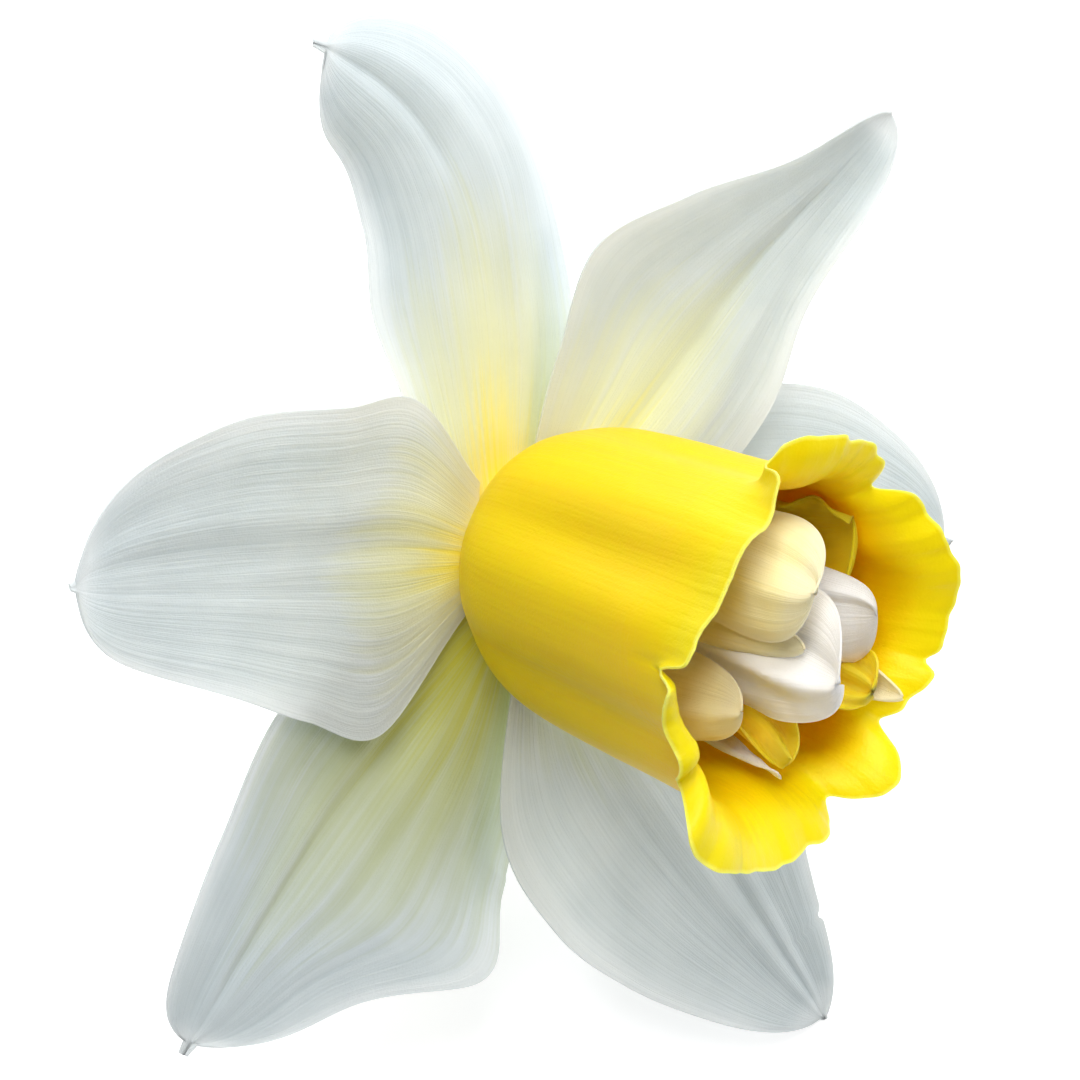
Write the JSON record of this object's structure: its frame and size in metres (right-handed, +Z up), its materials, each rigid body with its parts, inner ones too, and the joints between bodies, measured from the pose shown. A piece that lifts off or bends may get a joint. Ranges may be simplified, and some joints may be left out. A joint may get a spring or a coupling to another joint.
{
  "type": "daffodil flower head",
  "caption": "Picked double daffodil head lying down: spreading white tepals, a frilled yellow trumpet packed with white, cream and yellow inner petals, and a short cut stub of green stalk.",
  "frame": {"origin": "centre of the bounding box at the surface the flower lies on", "axes": "+Z up from the surface, +X the side the trumpet leans towards, +Y towards the tip of the upper tepal"},
  "size_m": [0.0736, 0.0885, 0.0671],
  "materials": {
    "tepal_white": "soft, faintly ribbed living petal, slightly see-through",
    "petaloid_white": "soft living petal",
    "petaloid_cream": "soft living petal",
    "petaloid_yellow": "soft living petal",
    "trumpet_yellow": "soft, broadly ribbed living petal with a satin sheen",
    "stem_green": "smooth waxy stalk"
  },
  "bodies": {
    "root": {"outer_tepal_top": "tepal_white", "outer_tepal_right": "tepal_white", "outer_tepal_lower_left": "tepal_white", "inner_tepal_upper_right": "tepal_white", "inner_tepal_lower_right": "tepal_white", "inner_tepal_left": "tepal_white", "petaloid_white_folded": "petaloid_white", "petaloid_white_right": "petaloid_white", "petaloid_white_small": "petaloid_white", "petaloid_cream_upper": "petaloid_cream", "petaloid_cream_lower": "petaloid_cream", "petaloid_cream_curl": "petaloid_cream", "petaloid_cream_edge": "petaloid_cream", "petaloid_yellow_cupped": "petaloid_yellow", "petaloid_yellow_right": "petaloid_yellow", "petaloid_yellow_hook": "petaloid_yellow", "petaloid_yellow_upper": "petaloid_yellow", "petaloid_yellow_lower": "petaloid_yellow", "corona": "trumpet_yellow", "floral_tube": "stem_green", "ovary": "stem_green", "pedicel": "stem_green"}
  },
  "joints": []
}
